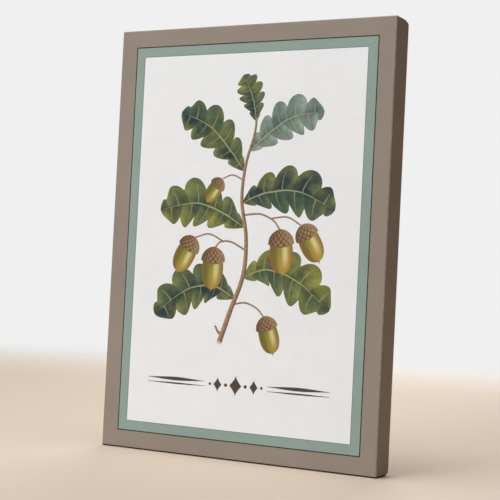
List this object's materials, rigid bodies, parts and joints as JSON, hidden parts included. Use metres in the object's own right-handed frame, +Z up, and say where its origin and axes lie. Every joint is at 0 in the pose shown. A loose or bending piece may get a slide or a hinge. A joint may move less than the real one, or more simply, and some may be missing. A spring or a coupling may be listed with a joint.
{
  "type": "stretched canvas print",
  "caption": "Gallery-wrapped canvas print with a bordered botanical picture, stapled over a deep wooden stretcher frame; stands on its edge, leans or hangs on a wall.",
  "frame": {"origin": "under the middle of the whole piece, on the surface that the canvas stands on", "axes": "+X to the right along the width as the picture is seen, +Y from the picture to the back, +Z up the height; the picture faces -Y"},
  "size_m": [0.5, 0.0496, 0.7],
  "materials": {
    "print_canvas": "matt woven cotton canvas with a pigment print: off-white field, sage band and taupe edge",
    "pine": "planed, unvarnished pine",
    "beech": "sawn, unvarnished beech",
    "staple_steel": "bright galvanised wire",
    "zinc_steel": "zinc-plated pressed steel"
  },
  "bodies": {
    "root": {"bar_bottom": "pine", "bar_left": "pine", "bar_right": "pine", "bar_top": "pine", "canvas": "print_canvas", "hanger_nail_left": "zinc_steel", "hanger_nail_right": "zinc_steel", "key_bottom_left_level": "beech", "key_bottom_left_upright": "beech", "key_bottom_right_level": "beech", "key_bottom_right_upright": "beech", "key_top_left_level": "beech", "key_top_left_upright": "beech", "key_top_right_level": "beech", "key_top_right_upright": "beech", "sawtooth_hanger": "zinc_steel", "staple_bottom_1": "staple_steel", "staple_bottom_2": "staple_steel", "staple_bottom_3": "staple_steel", "staple_bottom_4": "staple_steel", "staple_bottom_5": "staple_steel", "staple_bottom_6": "staple_steel", "staple_bottom_7": "staple_steel", "staple_left_1": "staple_steel", "staple_left_2": "staple_steel", "staple_left_3": "staple_steel", "staple_left_4": "staple_steel", "staple_left_5": "staple_steel", "staple_left_6": "staple_steel", "staple_left_7": "staple_steel", "staple_left_8": "staple_steel", "staple_left_9": "staple_steel", "staple_right_1": "staple_steel", "staple_right_2": "staple_steel", "staple_right_3": "staple_steel", "staple_right_4": "staple_steel", "staple_right_5": "staple_steel", "staple_right_6": "staple_steel", "staple_right_7": "staple_steel", "staple_right_8": "staple_steel", "staple_right_9": "staple_steel", "staple_top_1": "staple_steel", "staple_top_2": "staple_steel", "staple_top_3": "staple_steel", "staple_top_4": "staple_steel", "staple_top_5": "staple_steel", "staple_top_6": "staple_steel", "staple_top_7": "staple_steel"}
  },
  "joints": []
}
